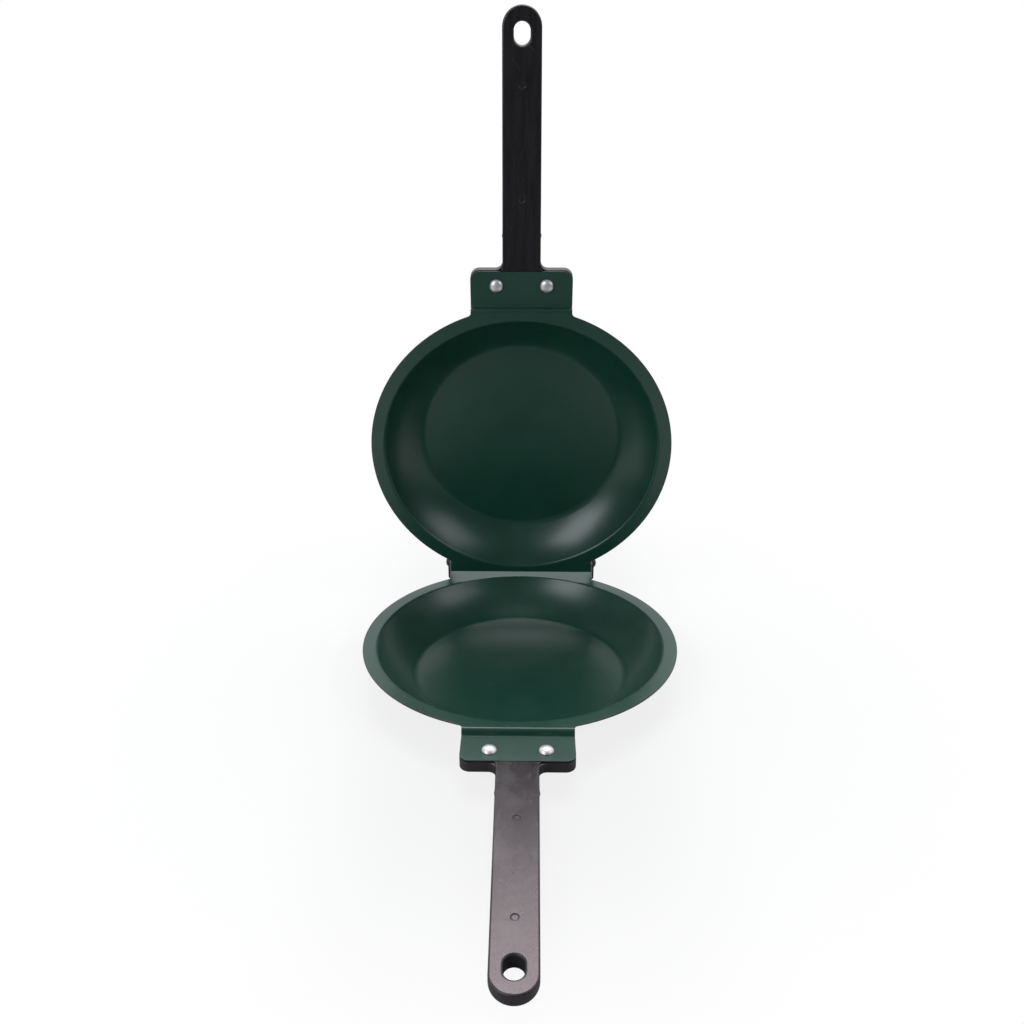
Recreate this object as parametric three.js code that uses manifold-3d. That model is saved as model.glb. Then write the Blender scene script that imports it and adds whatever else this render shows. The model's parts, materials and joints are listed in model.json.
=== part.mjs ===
// A double sided flip pan, open. Two round pressed steel pans are joined at the back by a
// riveted sheet hinge, and each carries a black moulded handle on a tab at its front.
// Millimetres, +Z up. The origin is the middle of the lower pan's underside, the handle of the
// lower pan points along -Y and the hinge lies behind at +Y.
import * as THREE from 'three';
import { mergeVertices } from 'three/addons/utils/BufferGeometryUtils.js';
import Module from 'manifold-3d';

const wasm = await Module();
wasm.setup();

// Pressed pans
const mouthRadius = 89.0;
const flangeWidth = 7.5;
const bowlTaper = 26.0;
const lipRadius = 2.0;
const footRadius = 10.0;
const footAngle = THREE.MathUtils.degToRad(30);
const bowlDepth = 21.7;
const sheet = 0.9;
const rimFillet = 2.5;

// Front tabs, stepped away from the cooking side so that facing rivet heads clear
const tabWidth = 61;
const tabLength = 21.1;
const tabCorner = 5.5;
const tabStep = 4.0;
const stepMargin = 0.3;
const stepBend = 0.6;
const stepAngle = THREE.MathUtils.degToRad(76);

// Hinge, with the reach of its edges and ears given from the pivot rivets
const hingeInset = 6.0;
const hingeHeight = 9.5;
const openAngle = THREE.MathUtils.degToRad(82.6);
const earOuter = 50.3;
const earBend = 0.8;
const earAbovePin = 5.5;
const earCorner = 4.5;
const earCornerMostShare = 0.45;
const lowerEdgeBehindPin = 6.5;
const upperEarBehindPin = 5.5;
const upperEarNeck = 2.6;
const edgeClearance = 0.5;

// Handles
const gripLength = 141.4;
const neckWidth = 22.6;
const endWidth = 21.5;
const headThickness = 6;
const headSetback = 4.4;
const headProud = 0.5;
const headEdge = 0.8;
const gripThickness = 8.1;
const gripFall = 7.7;
const gripEdge = 1.0;
const gripBelly = 4.0;
const bellySetback = 1.6;
const bellyRun = 24;
const neckFillet = 4.2;
const collarFillet = 2.0;
const holeWidth = 9;
const holeLength = 12.2;
const holeToTip = 13.9;
const holeEdge = 1.0;

// Fasteners
const rivetInset = 8.7;
const rivetSpacing = 30;
const rivetRadius = 2.0;
const rivetHeadRadius = 4.0;
const rivetHeadHeight = 2.3;
const tailRadius = 3.1;
const tailHeight = 1.3;
const washerRadius = 4.0;
const washerThickness = 0.8;
const pivotRadius = 1.8;
const pivotHeadRadius = 3.0;
const pivotHeadHeight = 1.5;
const pivotTailRadius = 2.7;
const pivotTailHeight = 1.0;
const pivotWasherRadius = 3.6;
const pivotWasherThickness = 0.6;

// Clearances
const seatGap = 0.3;
const holeClearance = 0.2;
const runningClearance = 0.08;
const closedGap = 0.3;
const cutOverrun = 2;
const joinOverlap = 1;

// Facets
const roundSteps = 60;
const smallSteps = 20;
const bendSteps = 3;
const edgeSteps = 2;
const footSteps = 5;
const wallSteps = 4;
const domeSteps = 4;
const endSteps = 8;

// Places that follow from the sizes, as distances from the pan's middle or above the flange
const quarterTurn = Math.PI / 2;
const panHeight = bowlDepth + sheet;
const rimRadius = mouthRadius + flangeWidth;
const floorRadius = mouthRadius - bowlTaper;
const tabReach = rimRadius + tabLength;
const rivetReach = tabReach - rivetInset;
const handleReach = tabReach + gripLength;
const hingeReach = rimRadius - hingeInset;
const earTop = hingeHeight + earAbovePin;
const lowerHingeEdge = hingeReach + lowerEdgeBehindPin;
const upperEarEnd = hingeReach + upperEarBehindPin;

// Solids are closed surfaces that can be joined and cut.

function toSolid(geometry) {
  const bare = geometry.clone();
  bare.deleteAttribute('normal');
  bare.deleteAttribute('uv');
  const merged = mergeVertices(bare);
  const index = merged.index.array;
  const corners = [];
  for (let i = 0; i < index.length; i += 3) {
    const [a, b, c] = [index[i], index[i + 1], index[i + 2]];
    if (a !== b && b !== c && c !== a) corners.push(a, b, c);
  }
  const vertProperties = new Float32Array(merged.attributes.position.array);
  const triVerts = new Uint32Array(corners);
  return new wasm.Manifold(new wasm.Mesh({ numProp: 3, vertProperties, triVerts }));
}

function toGeometry(solid) {
  const mesh = solid.getMesh();
  const geometry = new THREE.BufferGeometry();
  geometry.setAttribute('position', new THREE.BufferAttribute(new Float32Array(mesh.vertProperties), 3));
  geometry.setIndex(new THREE.BufferAttribute(new Uint32Array(mesh.triVerts), 1));
  const flat = geometry.toNonIndexed();
  flat.computeVertexNormals();
  return flat;
}

function join(first, ...others) {
  return others.reduce((whole, solid) => whole.add(solid), first);
}

function cut(first, ...others) {
  return others.reduce((whole, solid) => whole.subtract(solid), first);
}

// Outlines: lists of Vector2

function point(x, y) {
  return new THREE.Vector2(x, y);
}

function arc(centre, radius, from, to, steps) {
  const points = [];
  for (let i = 0; i <= steps; i += 1) {
    const angle = THREE.MathUtils.lerp(from, to, i / steps);
    points.push(point(centre.x + radius * Math.cos(angle), centre.y + radius * Math.sin(angle)));
  }
  return points;
}

function mirrored(points) {
  return points.map((p) => point(-p.x, p.y)).reverse();
}

// A prism of an outline along one axis. The outline lies in XY for z, XZ for y and YZ for x.
function prism(outline, axis, from, to) {
  const shape = new THREE.Shape(outline);
  const geometry = new THREE.ExtrudeGeometry(shape, { depth: to - from, bevelEnabled: false });
  const place = new THREE.Matrix4();
  const [x, y, z] = [new THREE.Vector3(1, 0, 0), new THREE.Vector3(0, 1, 0), new THREE.Vector3(0, 0, 1)];
  if (axis === 'x') place.makeBasis(y, z, x).setPosition(from, 0, 0);
  if (axis === 'y') place.makeBasis(x, z, y.negate()).setPosition(0, to, 0);
  if (axis === 'z') place.makeBasis(x, y, z).setPosition(0, 0, from);
  return toSolid(geometry.applyMatrix4(place));
}

// The section of a bent sheet. It starts at a point on the sheet's face and runs along the
// heading, with the sheet on the right. Each move is a straight length or a turn with the
// radius inside the bend; turns to the left are positive.
function sheetSection(start, heading, moves) {
  const side = (angle) => point(Math.sin(angle), -Math.cos(angle));
  const face = [start.clone()];
  const back = [start.clone().addScaledVector(side(heading), sheet)];
  let here = start.clone();
  let angle = heading;
  for (const move of moves) {
    if (move.length) {
      here = here.clone().add(point(Math.cos(angle), Math.sin(angle)).multiplyScalar(move.length));
      face.push(here);
      back.push(here.clone().addScaledVector(side(angle), sheet));
      continue;
    }
    const faceRadius = move.turn > 0 ? move.radius : -(move.radius + sheet);
    const centre = here.clone().addScaledVector(side(angle), -faceRadius);
    for (let i = 1; i <= move.steps; i += 1) {
      const turned = angle + (move.turn * i) / move.steps;
      face.push(centre.clone().addScaledVector(side(turned), faceRadius));
      back.push(centre.clone().addScaledVector(side(turned), faceRadius + sheet));
    }
    here = face[face.length - 1];
    angle += move.turn;
  }
  return [...back, ...face.reverse()];
}

// A turned piece: a profile of (radius, height) points, counter-clockwise, about the Z axis.
function turned(profile, steps) {
  return toSolid(new THREE.LatheGeometry(profile, steps).rotateX(quarterTurn));
}

// A round hole or peg along one axis
function peg(radius, axis, from, to, at = new THREE.Vector3()) {
  const outline = arc(point(0, 0), radius, 0, 2 * Math.PI, smallSteps).slice(1);
  const centred = { x: point(at.y, at.z), y: point(at.x, at.z), z: point(at.x, at.y) }[axis];
  return prism(outline.map((p) => p.add(centred)), axis, from, to);
}

// A body with rounded edges, symmetrical about X = 0. stations(inset) gives its right half
// from the back to the front, drawn in by the inset, and each level gives an inset and a
// height, which may change along Y. Levels run upwards.
function roundedBody(stations, levels) {
  const rings = levels.map(({ inset, height }) => {
    const right = stations(inset);
    const left = right.filter((p) => p.x > 0).reverse();
    const ring = right.map((p) => [p.x, p.y]);
    left.forEach((p) => ring.push([-p.x, p.y]));
    return ring.map(([x, y]) => [x, y, height(y)]);
  });
  const count = rings[0].length;
  const right = stations(0);
  const onAxis = right[0].x === 0 ? 1 : 0;
  const mirror = (i) => (right[i].x === 0 ? i : count - 1 - i + onAxis);
  const positions = rings.flat(2);
  const index = [];
  const quad = (a, b, c, d) => index.push(a, b, c, a, c, d);
  for (let level = 0; level + 1 < rings.length; level += 1) {
    for (let i = 0; i < count; i += 1) {
      const [low, next] = [level * count + i, level * count + ((i + 1) % count)];
      quad(next, low, low + count, next + count);
    }
  }
  const top = (rings.length - 1) * count;
  for (let i = 0; i + 1 < right.length; i += 1) {
    const [a, b, c, d] = [i, i + 1, mirror(i + 1), mirror(i)];
    quad(a, b, c, d);
    quad(top + d, top + c, top + b, top + a);
  }
  const geometry = new THREE.BufferGeometry();
  geometry.setAttribute('position', new THREE.Float32BufferAttribute(positions, 3));
  geometry.setIndex(index);
  return toSolid(geometry);
}

// Levels of a body with a rounded lower edge and a rounded upper edge
function edgeLevels(bottom, top, lowerEdge, upperEdge, steps) {
  const levels = [];
  for (let i = 0; i <= steps; i += 1) {
    const angle = (quarterTurn * i) / steps;
    const [inset, lift] = [lowerEdge * (1 - Math.sin(angle)), lowerEdge * (1 - Math.cos(angle))];
    levels.push({ inset, height: (y) => bottom(y) + lift });
  }
  for (let i = 0; i <= steps; i += 1) {
    const angle = (quarterTurn * i) / steps;
    const [inset, drop] = [upperEdge * (1 - Math.cos(angle)), upperEdge * (1 - Math.sin(angle))];
    levels.push({ inset, height: (y) => top(y) - drop });
  }
  return levels;
}

// Pressed pans. A half lies with its flange's face at height 0 and its bowl below it.

// The bowl's section: flat floor, foot radius, a wall that steepens in one long curve, and the
// lip. The wall's curve runs on from the foot's and touches the lip's from outside.
function bowl() {
  const across = point(-Math.sin(footAngle), Math.cos(footAngle));
  const footCentre = point(floorRadius, -bowlDepth + footRadius);
  const lipCentre = point(mouthRadius, -lipRadius);
  const between = footCentre.clone().sub(lipCentre);
  const touch = footRadius + lipRadius;
  const beyond = (between.lengthSq() - touch ** 2) / (2 * (touch - between.dot(across)));
  const wallCentre = footCentre.clone().addScaledVector(across, beyond);
  const lipAngle = Math.atan2(lipCentre.x - wallCentre.x, wallCentre.y - lipCentre.y);
  const section = sheetSection(point(0, -bowlDepth), 0, [
    { length: floorRadius },
    { turn: footAngle, radius: footRadius, steps: footSteps },
    { turn: lipAngle - footAngle, radius: footRadius + beyond, steps: wallSteps },
    { turn: -lipAngle, radius: lipRadius - sheet, steps: bendSteps },
    { length: joinOverlap },
  ]);
  return turned(section, roundSteps);
}

// Where a straight side at +-halfWidth meets the rim in a fillet: the fillet's points from the
// rim to the side, for a tab on the +Y side.
function rimToSide(halfWidth) {
  const reach = rimRadius + rimFillet;
  const centre = point(halfWidth + rimFillet, 0);
  centre.y = Math.sqrt(reach ** 2 - centre.x ** 2);
  const away = centre.angle();
  return arc(centre, rimFillet, away - Math.PI, -Math.PI, bendSteps);
}

// Where the front tab's step starts, just beyond the fillets at the rim
const stepStart = rimToSide(tabWidth / 2)[bendSteps].y + stepMargin;

// The flange in plan with the stub of the front tab and the flat part of the hinge tab
function flange(hingeHalfWidth, hingeEdge) {
  const hingeSide = rimToSide(hingeHalfWidth);
  const tabSide = rimToSide(tabWidth / 2).map((p) => point(p.x, -p.y)).reverse();
  const rim = arc(point(0, 0), rimRadius, tabSide[tabSide.length - 1].angle() - 2 * Math.PI,
    hingeSide[0].angle(), roundSteps / 2);
  const right = [
    point(tabWidth / 2, -stepStart),
    ...tabSide,
    ...rim.slice(1, -1),
    ...hingeSide,
    point(hingeHalfWidth, hingeEdge),
  ];
  const plate = prism([...right, ...mirrored(right)], 'z', -sheet, 0);
  return cut(plate, turned([
    point(0, -cutOverrun),
    point(mouthRadius, -cutOverrun),
    point(mouthRadius, cutOverrun),
    point(0, cutOverrun),
  ], roundSteps));
}

// The front tab: level with the flange, bent down by the step and level again
function frontTab() {
  const bendDrop = (2 * stepBend + sheet) * (1 - Math.cos(stepAngle));
  const riser = (tabStep - bendDrop) / Math.sin(stepAngle);
  const bendRun = (2 * stepBend + sheet) * Math.sin(stepAngle) + riser * Math.cos(stepAngle);
  const section = sheetSection(point(stepStart - joinOverlap, 0), 0, [
    { length: joinOverlap },
    { turn: -stepAngle, radius: stepBend, steps: bendSteps },
    { length: riser },
    { turn: stepAngle, radius: stepBend, steps: bendSteps },
    { length: tabReach - stepStart - bendRun },
  ]).map((p) => point(-p.x, p.y));
  const strip = prism(section, 'x', -tabWidth / 2, tabWidth / 2);
  const corner = point(tabWidth / 2 - tabCorner, -(tabReach - tabCorner));
  const right = [
    ...arc(corner, tabCorner, -quarterTurn, 0, domeSteps),
    point(tabWidth / 2, -stepStart + joinOverlap + cutOverrun),
  ];
  const plan = prism([...right, ...mirrored(right)], 'z', -tabStep - sheet - cutOverrun, cutOverrun);
  const holes = [-1, 1].map((side) => peg(rivetRadius + holeClearance, 'z',
    -tabStep - sheet - cutOverrun, cutOverrun,
    new THREE.Vector3((side * rivetSpacing) / 2, -rivetReach, 0)));
  return cut(strip.intersect(plan), ...holes);
}

// One ear, bent from the hinge tab's side. up is 1 where it stands on the cooking side and -1
// where it stands on the outside. lug is the ear's outline in YZ.
function ear(side, outer, up, lug, pivotHeight) {
  const flat = outer - sheet - earBend;
  const length = earTop - sheet - earBend;
  const section = sheetSection(point(flat - joinOverlap, 0), 0, [
    { length: joinOverlap },
    { turn: up * quarterTurn, radius: earBend, steps: bendSteps },
    { length },
  ]).map((p) => point(side * p.x, p.y));
  const reach = Math.max(...lug.map((p) => p.x));
  const bent = prism(section, 'y', 0, reach);
  const across = side > 0 ? [0, outer + cutOverrun] : [-outer - cutOverrun, 0];
  const trimmed = bent.intersect(prism(lug, 'x', ...across));
  const hole = peg(pivotRadius + runningClearance, 'x', ...across,
    new THREE.Vector3(0, hingeReach, pivotHeight));
  return cut(trimmed, hole);
}

// The radius of an ear's corners, which a narrow ear limits
function earRadius(start, end) {
  return Math.min(earCorner, earCornerMostShare * (end - start));
}

function lowerPan() {
  const flat = earOuter - sheet - earBend;
  const earStart = rimToSide(flat)[bendSteps].y;
  const radius = earRadius(earStart, lowerHingeEdge);
  const lug = [
    point(earStart, -sheet),
    point(lowerHingeEdge, -sheet),
    ...arc(point(lowerHingeEdge - radius, earTop - radius), radius, 0, quarterTurn, bendSteps),
    ...arc(point(earStart + radius, earTop - radius), radius, quarterTurn, Math.PI, bendSteps),
  ];
  const ears = [-1, 1].map((side) => ear(side, earOuter, 1, lug, hingeHeight));
  return join(flange(flat, lowerHingeEdge), bowl(), frontTab(), ...ears);
}

// The upper hinge edge swings just clear of the lower flange, so its reach follows the pivot.
function upperPan() {
  const outer = earOuter - sheet - seatGap;
  const flat = outer - sheet - earBend;
  const earStart = rimToSide(flat)[bendSteps].y;
  const bottom = -earTop + closedGap;
  const swing = Math.sqrt(hingeHeight ** 2 - (hingeHeight - closedGap) ** 2);
  const upperHingeEdge = hingeReach + swing - edgeClearance;
  const radius = earRadius(earStart, upperEarEnd);
  const lug = [
    point(earStart, 0),
    ...arc(point(earStart + radius, bottom + radius), radius, -Math.PI, -quarterTurn, bendSteps),
    ...arc(point(upperEarEnd - radius, bottom + radius), radius, -quarterTurn, 0, bendSteps),
    point(upperEarEnd, -upperEarNeck - (upperEarEnd - upperHingeEdge)),
    point(upperHingeEdge, -upperEarNeck),
    point(upperHingeEdge, 0),
  ];
  const ears = [-1, 1].map((side) => ear(side, outer, -1, lug, closedGap - hingeHeight));
  return join(flange(flat, upperHingeEdge), bowl(), frontTab(), ...ears);
}

// Handles

const tabUnder = -tabStep - sheet;
const headFace = tabUnder - seatGap;
const headUnder = headFace - headThickness;
const neckStart = tabReach + seatGap;
const headBack = stepStart + headSetback;
const headFront = tabReach + headProud;
const gripFace = -tabStep;
const bellyStart = rivetReach + washerRadius + bellySetback;

// The T-shaped head's right half in plan, from its back edge to its front edge
function headStations(inset) {
  const radius = tabCorner - inset;
  const x = tabWidth / 2 - tabCorner;
  return [
    ...arc(point(x, -headBack - tabCorner), radius, quarterTurn, 0, bendSteps),
    ...arc(point(x, -headFront + tabCorner), radius, 0, -quarterTurn, bendSteps),
  ];
}

// The grip's right half in plan: a long taper and a round end
function gripStations(inset) {
  const endRadius = endWidth / 2;
  const endY = -handleReach + endRadius;
  const halfWidth = (y) => THREE.MathUtils.mapLinear(y, -neckStart, endY, neckWidth / 2, endRadius);
  const places = [rivetReach + washerRadius];
  for (let i = 0; i <= footSteps; i += 1) places.push(bellyStart + (bellyRun * i) / footSteps);
  const sides = places.map((y) => point(halfWidth(-y) - inset, -y));
  const end = arc(point(0, endY), endRadius - inset, 0, -quarterTurn, endSteps);
  end[endSteps].x = 0;
  return [...sides, ...end];
}

// The grip falls steadily away from the cooking side, from the neck to its tip.
function gripTop(y) {
  const share = THREE.MathUtils.mapLinear(-y, neckStart, handleReach, 0, 1);
  return gripFace - gripFall * Math.max(share, 0);
}

function gripBottom(y) {
  const share = THREE.MathUtils.smoothstep(-y, bellyStart, bellyStart + bellyRun);
  return gripTop(y) - THREE.MathUtils.lerp(gripFace - headUnder, gripThickness, share);
}

// A fillet in plan between the grip's side and a front edge at reach
function neckCorner(side, reach, radius, overlap, from, to) {
  const x = neckWidth / 2;
  const outline = [
    point(x - radius, -reach + overlap),
    point(x + radius, -reach + overlap),
    ...arc(point(x + radius, -reach - radius), radius, quarterTurn, Math.PI, domeSteps),
    point(x - radius, -reach - radius),
  ].map((p) => point(side * p.x, p.y));
  return prism(outline, 'z', from, to);
}

function hangingHole() {
  const radius = holeWidth / 2;
  const centre = -handleReach + holeToTip;
  const run = (holeLength - holeWidth) / 2;
  const stations = (inset) => {
    const points = [
      ...arc(point(0, centre + run), radius - inset, quarterTurn, 0, domeSteps),
      ...arc(point(0, centre - run), radius - inset, 0, -quarterTurn, domeSteps),
    ];
    points[0].x = 0;
    points[points.length - 1].x = 0;
    return points;
  };
  const flared = (inset, face, above) => ({ inset: -inset, height: (y) => face(y) + above });
  const stack = [
    flared(holeEdge + cutOverrun, gripBottom, -cutOverrun),
    flared(holeEdge, gripBottom, 0),
    flared(0, gripBottom, holeEdge),
    flared(0, gripTop, -holeEdge),
    flared(holeEdge, gripTop, 0),
    flared(holeEdge + cutOverrun, gripTop, cutOverrun),
  ];
  return roundedBody(stations, stack);
}

function handle() {
  const levelHead = edgeLevels(() => headUnder, () => headFace, headEdge, headEdge / 2, edgeSteps);
  const levelGrip = edgeLevels(gripBottom, gripTop, gripBelly, gripEdge, bendSteps);
  const raised = prism([
    point(-neckWidth, -neckStart),
    point(neckWidth, -neckStart),
    point(neckWidth, -headBack),
    point(-neckWidth, -headBack),
  ], 'z', headFace, cutOverrun);
  const grip = cut(roundedBody(gripStations, levelGrip), raised);
  const corners = [-1, 1].flatMap((side) => [
    neckCorner(side, headFront, neckFillet, joinOverlap, headUnder + headEdge, headFace - headEdge / 2),
    neckCorner(side, neckStart, collarFillet, 0, headFace - headEdge, gripFace - gripEdge / 2),
  ]);
  const rivetHoles = [-1, 1].map((side) => peg(rivetRadius + holeClearance, 'z',
    headUnder - cutOverrun, headFace + cutOverrun,
    new THREE.Vector3((side * rivetSpacing) / 2, -rivetReach, 0)));
  const whole = join(roundedBody(headStations, levelHead), grip, ...corners);
  return cut(whole, hangingHole(), ...rivetHoles);
}

// Fasteners, turned about Z with the head at the top

// A domed head on a shank with a clinched tail. Heights run from the head's seat downwards.
function rivet(shank, headRadius, headHeight, tail, tailHigh, grip) {
  const dome = [];
  for (let i = 0; i <= domeSteps; i += 1) {
    const angle = (quarterTurn * i) / domeSteps;
    dome.push(point(headRadius * Math.cos(angle), headHeight * Math.sin(angle)));
  }
  dome[domeSteps].x = 0;
  const foot = -grip - tailHigh;
  return turned([
    point(0, foot),
    point(tail - tailHigh / 2, foot),
    point(tail, foot + tailHigh / 2),
    point(tail, -grip),
    point(shank, -grip),
    point(shank, 0),
    ...dome,
  ], smallSteps);
}

function washer(outer, inner, thickness) {
  const half = thickness / 2;
  return turned([
    point(inner, -half),
    point(outer, -half),
    point(outer, half),
    point(inner, half),
    point(inner, -half),
  ], smallSteps);
}

// Materials

function finish(color, roughness, metalness) {
  return new THREE.MeshStandardMaterial({ color, roughness, metalness });
}

const coatedSheet = () => finish(0x1b4a38, 0.35, 0.1);
const blackMoulding = () => finish(0x232126, 0.45, 0);
const polishedSteel = () => finish(0xc9c9cc, 0.2, 1);
const blackenedSteel = () => finish(0x29292b, 0.4, 0.6);

// Assembly

const flipPan = new THREE.Group();

function add(group, name, solid, material) {
  const mesh = new THREE.Mesh(toGeometry(solid), material);
  mesh.name = name;
  group.add(mesh);
  return mesh;
}

// A half's handle with its rivets and washers, in the half's own frame. leftSide is the sign of
// X there for what ends up on the left of the open pan, seen from the handle's end.
function addHandle(group, prefix, leftSide) {
  add(group, `${prefix}_handle`, handle(), blackMoulding());
  const seat = -tabStep + seatGap;
  const washerTop = headUnder - seatGap;
  const tailSeat = washerTop - washerThickness - seatGap;
  const sides = { left: leftSide, right: -leftSide };
  for (const [word, side] of Object.entries(sides)) {
    const x = (side * rivetSpacing) / 2;
    const pin = add(group, `${prefix}_rivet_${word}`,
      rivet(rivetRadius, rivetHeadRadius, rivetHeadHeight, tailRadius, tailHeight, seat - tailSeat),
      polishedSteel());
    pin.position.set(x, -rivetReach, seat);
    const ring = add(group, `${prefix}_washer_${word}`,
      washer(washerRadius, rivetRadius + holeClearance, washerThickness), polishedSteel());
    ring.position.set(x, -rivetReach, washerTop - washerThickness / 2);
  }
}

// The lower half stands on its floor.
const lowerHalf = new THREE.Group();
lowerHalf.position.z = panHeight;
add(lowerHalf, 'lower_pan', lowerPan(), coatedSheet());
addHandle(lowerHalf, 'lower', -1);

// The pivot rivets stay in the lower ears, heads outwards, with washers inside the upper ears.
const pivotWasherOuter = earOuter - 2 * sheet - 2 * seatGap;
const pivotTailSeat = pivotWasherOuter - pivotWasherThickness - seatGap;
for (const [word, side] of Object.entries({ left: -1, right: 1 })) {
  const seat = earOuter + seatGap;
  const pin = add(lowerHalf, `hinge_rivet_${word}`,
    rivet(pivotRadius, pivotHeadRadius, pivotHeadHeight, pivotTailRadius, pivotTailHeight,
      seat - pivotTailSeat), blackenedSteel());
  pin.rotation.y = side * quarterTurn;
  pin.position.set(side * seat, hingeReach, hingeHeight);
  const ring = add(lowerHalf, `hinge_washer_${word}`,
    washer(pivotWasherRadius, pivotRadius + runningClearance, pivotWasherThickness), blackenedSteel());
  ring.rotation.y = side * quarterTurn;
  ring.position.set(side * (pivotWasherOuter - pivotWasherThickness / 2), hingeReach, hingeHeight);
}
flipPan.add(lowerHalf);

// The upper half is laid face down on the lower one, then turned up about the hinge.
const hinge = new THREE.Group();
hinge.position.set(0, hingeReach, panHeight + hingeHeight);
hinge.rotation.x = -openAngle;
const upperHalf = new THREE.Group();
upperHalf.position.set(0, -hingeReach, closedGap - hingeHeight);
upperHalf.rotation.y = Math.PI;
add(upperHalf, 'upper_pan', upperPan(), coatedSheet());
addHandle(upperHalf, 'upper', 1);
hinge.add(upperHalf);
flipPan.add(hinge);

export default flipPan;
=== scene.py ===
"""A double sided flip pan, shown open. It stands on its lower half, and its upper half leans back
on the riveted hinge. Sizes are in millimetres in each half's own frame: the flange's cooking side
lies at height 0, the bowl hangs below it, the handle points along -Y and the hinge is at +Y."""
import json
import math

import bpy
import numpy as np
from mathutils import Matrix, Vector
from mathutils.geometry import delaunay_2d_cdt


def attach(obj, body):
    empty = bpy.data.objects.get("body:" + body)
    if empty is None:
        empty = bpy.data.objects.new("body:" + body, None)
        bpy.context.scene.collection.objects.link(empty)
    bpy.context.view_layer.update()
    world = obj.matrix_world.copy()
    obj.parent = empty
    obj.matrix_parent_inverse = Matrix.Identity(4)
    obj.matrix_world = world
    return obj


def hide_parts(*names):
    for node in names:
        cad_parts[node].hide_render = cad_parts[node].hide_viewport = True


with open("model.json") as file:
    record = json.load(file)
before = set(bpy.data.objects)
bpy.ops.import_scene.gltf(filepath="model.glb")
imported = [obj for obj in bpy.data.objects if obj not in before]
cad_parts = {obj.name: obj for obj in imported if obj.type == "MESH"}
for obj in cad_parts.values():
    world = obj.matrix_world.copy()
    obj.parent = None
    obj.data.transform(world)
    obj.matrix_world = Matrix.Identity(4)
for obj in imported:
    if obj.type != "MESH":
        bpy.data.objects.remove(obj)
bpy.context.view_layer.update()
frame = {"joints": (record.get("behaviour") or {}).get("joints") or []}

# The camera
# It stands in front of the lower handle's tip, above it, and looks down on the hinge, from the
# place that a fit of both rims and both handles to the photograph gave.
MM = 0.001
camera_place = (4.5, -562.0, 347.1)
camera_turn = (66.99, 0.03, 0.93)
camera_sensor = 36.0
camera_lens = 36.55

camera = bpy.data.objects.new("camera", bpy.data.cameras.new("camera"))
camera.data.sensor_width = camera_sensor
camera.data.lens = camera_lens
camera.location = Vector(camera_place) * MM
camera.rotation_euler = [math.radians(angle) for angle in camera_turn]
bpy.context.collection.objects.link(camera)
bpy.context.scene.camera = camera

# The two pressed pans
# Each is one pressing of steel sheet: a bowl with a wall that steepens to its lip, a flat rim, a
# stepped tab in front and two ears at the back. The lower ears are bent up and the upper ones down.
sheet = 0.9
mouth_radius, rim_radius, rim_fillet = 89.0, 96.5, 2.5
bowl_depth, floor_radius = 21.7, 63.0
lip_radius, foot_radius, foot_angle = 2.0, 10.0, math.radians(30)
tab_width, tab_reach, tab_corner, tab_step = 61.0, 117.6, 5.5, 4.0
step_angle, step_top_bend, step_foot_bend, step_margin = math.radians(76), 1.3, 1.2, 0.05
ear_outer, ear_bend, ear_top, ear_corner = 50.3, 0.8, 15.0, 4.5
lower_hinge_edge, upper_hinge_edge, upper_ear_end, upper_ear_neck = 97.0, 92.37, 96.0, 2.6
ear_gap, closed_gap = 0.3, 0.3
rivet_reach, rivet_spacing, rivet_hole, pivot_hole = 108.9, 30.0, 2.2, 1.88
cut_edge_round, cut_edge_steps, cut_edge_angle = 0.22, 2, math.radians(50)

# How finely the sheet is divided. A flat strip keeps each flat part's shading off its bend.
flat_strip = 0.35
floor_ring_shares = (0.22, 0.26, 0.28, 0.22, 0.02)
foot_steps, wall_steps, lip_steps, rim_step = 14, 24, 14, math.radians(1.5)
fillet_steps, hole_steps, tab_columns, hinge_columns = 8, 28, 12, 14
step_bend_steps, tab_corner_steps = 10, 8
ear_bend_steps, ear_rows, ear_corner_steps = 6, 8, 7
weld_digits, plate_tolerance = 3, 1e-5

pivot = Vector(frame["joints"][0]["pos_m"])
open_angle = -math.radians(frame["joints"][0]["range_deg"][0])
pan_height = bowl_depth + sheet
hinge_reach = pivot.y / MM
hinge_height = pivot.z / MM - pan_height
lower_place = Matrix.Translation((0, 0, pan_height * MM))
upper_place = (Matrix.Translation(pivot) @ Matrix.Rotation(-open_angle, 4, "X")
               @ Matrix.Translation(Vector((0, -hinge_reach, closed_gap - hinge_height)) * MM)
               @ Matrix.Rotation(math.pi, 4, "Y"))


def bent_run(start, heading, moves):
    """Points on the face of a bent sheet with their headings. A move is a length, or a turn with
    the radius inside the bend and its steps. The sheet lies on the right of the run."""
    places = [(start[0], start[1], heading)]
    for move in moves:
        x, z, heading = places[-1]
        if not isinstance(move, tuple):
            places.append((x + move * math.cos(heading), z + move * math.sin(heading), heading))
            continue
        turn, radius, steps = move
        face = radius if turn > 0 else -(radius + sheet)
        middle_x, middle_z = x - face * math.sin(heading), z + face * math.cos(heading)
        for i in range(1, steps + 1):
            angle = heading + turn * i / steps
            places.append((middle_x + face * math.sin(angle), middle_z - face * math.cos(angle), angle))
    return places


def arc(x, y, radius, start, end, steps):
    angles = [start + (end - start) * i / steps for i in range(steps + 1)]
    return [(x + radius * math.cos(a), y + radius * math.sin(a)) for a in angles]


def spread(start, end, steps):
    return [start + (end - start) * i / steps for i in range(steps + 1)]


def rim_to_side(half_width):
    """The fillet from the rim to a straight side at half_width, at the +Y end."""
    x = half_width + rim_fillet
    y = math.sqrt((rim_radius + rim_fillet) ** 2 - x ** 2)
    return arc(x, y, rim_fillet, math.atan2(y, x) - math.pi, -math.pi, fillet_steps)


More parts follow.
